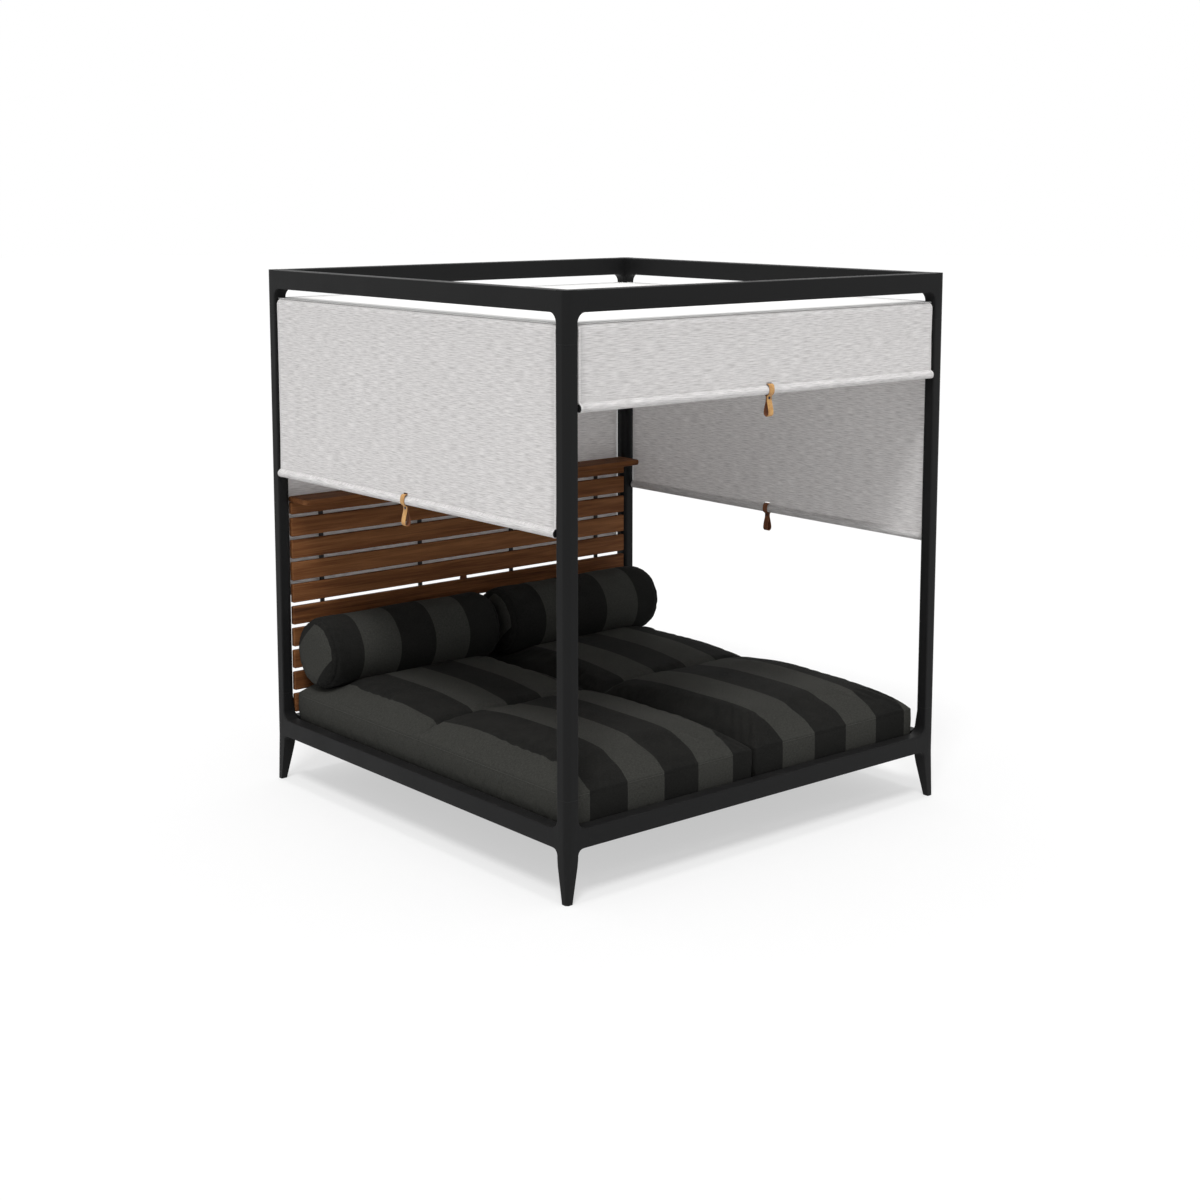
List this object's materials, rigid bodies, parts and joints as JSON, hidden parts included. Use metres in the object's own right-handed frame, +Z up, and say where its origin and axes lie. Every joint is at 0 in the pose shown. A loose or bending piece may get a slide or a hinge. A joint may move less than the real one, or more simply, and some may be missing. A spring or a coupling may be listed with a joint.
{
  "type": "daybed",
  "caption": "Square outdoor daybed under a canopy frame, with a roller blind on every side, a slatted teak wall with a shelf, striped mattresses and bolsters.",
  "frame": {"origin": "on the floor under the middle of the square frame", "axes": "+Z up, +Y towards the slatted wall at the back, +X to the right as seen from the open front"},
  "size_m": [2.0886, 2.0886, 2.29],
  "materials": {
    "frame": "matte charcoal powder coat",
    "dark_metal": "matte black powder coat",
    "teak": "oiled, satin",
    "blind_cloth": "woven screen cloth, light grey",
    "roof_cloth": "woven canopy cloth, off-white",
    "strap_leather": "natural tan",
    "striped_cloth": "woven outdoor cloth, dark with lighter stripes"
  },
  "bodies": {
    "frame": {"leg_corner_front_left": "frame", "post_front_left": "frame", "top_corner_front_left": "frame", "leg_corner_front_right": "frame", "post_front_right": "frame", "top_corner_front_right": "frame", "leg_corner_back_right": "frame", "post_back_right": "frame", "top_corner_back_right": "frame", "leg_corner_back_left": "frame", "post_back_left": "frame", "top_corner_back_left": "frame", "bottom_rail_front": "frame", "top_rail_front": "frame", "bottom_rail_right": "frame", "top_rail_right": "frame", "bottom_rail_back": "frame", "top_rail_back": "frame", "bottom_rail_left": "frame", "top_rail_left": "frame", "deck_panel_left": "dark_metal", "deck_panel_right": "dark_metal", "wall_shelf": "teak", "wall_slat_01": "teak", "wall_slat_02": "teak", "wall_slat_03": "teak", "wall_slat_04": "teak", "wall_slat_05": "teak", "wall_slat_06": "teak", "wall_slat_07": "teak", "wall_slat_08": "teak", "wall_slat_09": "teak", "wall_slat_10": "teak", "wall_bar_1": "dark_metal", "wall_bar_2": "dark_metal", "wall_bar_3": "dark_metal", "wall_bar_4": "dark_metal", "roof_tube_left": "dark_metal", "roof_tube_right": "dark_metal", "roof_cloth": "roof_cloth", "blind_cloth_front": "blind_cloth", "blind_cloth_right": "blind_cloth", "blind_cloth_back": "blind_cloth", "blind_cloth_left": "blind_cloth"},
    "front_hem": {"hem_bar_front": "blind_cloth", "pull_strap_front": "strap_leather"},
    "front_roller": {"roller_front": "blind_cloth"},
    "right_hem": {"hem_bar_right": "blind_cloth", "pull_strap_right": "strap_leather"},
    "right_roller": {"roller_right": "blind_cloth"},
    "back_hem": {"hem_bar_back": "blind_cloth", "pull_strap_back": "strap_leather"},
    "back_roller": {"roller_back": "blind_cloth"},
    "left_hem": {"hem_bar_left": "blind_cloth", "pull_strap_left": "strap_leather"},
    "left_roller": {"roller_left": "blind_cloth"},
    "left_mattress": {"mattress_left": "striped_cloth"},
    "left_bolster": {"bolster_left": "striped_cloth"},
    "right_mattress": {"mattress_right": "striped_cloth"},
    "right_bolster": {"bolster_right": "striped_cloth"}
  },
  "joints": [
    {"name": "front_blind_slide", "type": "slide", "parent": "frame", "child": "front_hem", "axis": [0, 0, 1], "range_m": [-1.461, 0.209], "deforming": ["blind_cloth_front"]},
    {"name": "right_blind_slide", "type": "slide", "parent": "frame", "child": "right_hem", "axis": [0, 0, 1], "range_m": [-0.743, 0.927], "deforming": ["blind_cloth_right"]},
    {"name": "back_blind_slide", "type": "slide", "parent": "frame", "child": "back_hem", "axis": [0, 0, 1], "range_m": [-0.45, 1.22], "deforming": ["blind_cloth_back"]},
    {"name": "left_blind_slide", "type": "slide", "parent": "frame", "child": "left_hem", "axis": [0, 0, 1], "range_m": [-1, 0.67], "deforming": ["blind_cloth_left"]},
    {"name": "front_roller_spin", "type": "hinge", "parent": "frame", "child": "front_roller", "pos_m": [0, -1.0017, 2.141], "axis": [1, 0, 0], "range_deg": [-522, 3641]},
    {"name": "right_roller_spin", "type": "hinge", "parent": "frame", "child": "right_roller", "pos_m": [1.0017, 0, 2.141], "axis": [0, 1, 0], "range_deg": [-2311, 1852]},
    {"name": "back_roller_spin", "type": "hinge", "parent": "frame", "child": "back_roller", "pos_m": [0, 1.0017, 2.141], "axis": [-1, 0, 0], "range_deg": [-3041, 1123]},
    {"name": "left_roller_spin", "type": "hinge", "parent": "frame", "child": "left_roller", "pos_m": [-1.0017, 0, 2.141], "axis": [0, -1, 0], "range_deg": [-1671, 2493]},
    {"name": "left_mattress_lift", "type": "slide", "parent": "frame", "child": "left_mattress", "axis": [0, 0, 1], "range_m": [0, 0.25]},
    {"name": "left_bolster_lift", "type": "slide", "parent": "left_mattress", "child": "left_bolster", "axis": [0, 0, 1], "range_m": [0, 0.2]},
    {"name": "right_mattress_lift", "type": "slide", "parent": "frame", "child": "right_mattress", "axis": [0, 0, 1], "range_m": [0, 0.25]},
    {"name": "right_bolster_lift", "type": "slide", "parent": "right_mattress", "child": "right_bolster", "axis": [0, 0, 1], "range_m": [0, 0.2]}
  ],
  "couplings": [
    {"joint": "front_roller_spin", "follows": "front_blind_slide", "rad_per_m": -43.478},
    {"joint": "right_roller_spin", "follows": "right_blind_slide", "rad_per_m": -43.478},
    {"joint": "back_roller_spin", "follows": "back_blind_slide", "rad_per_m": -43.478},
    {"joint": "left_roller_spin", "follows": "left_blind_slide", "rad_per_m": -43.478}
  ]
}
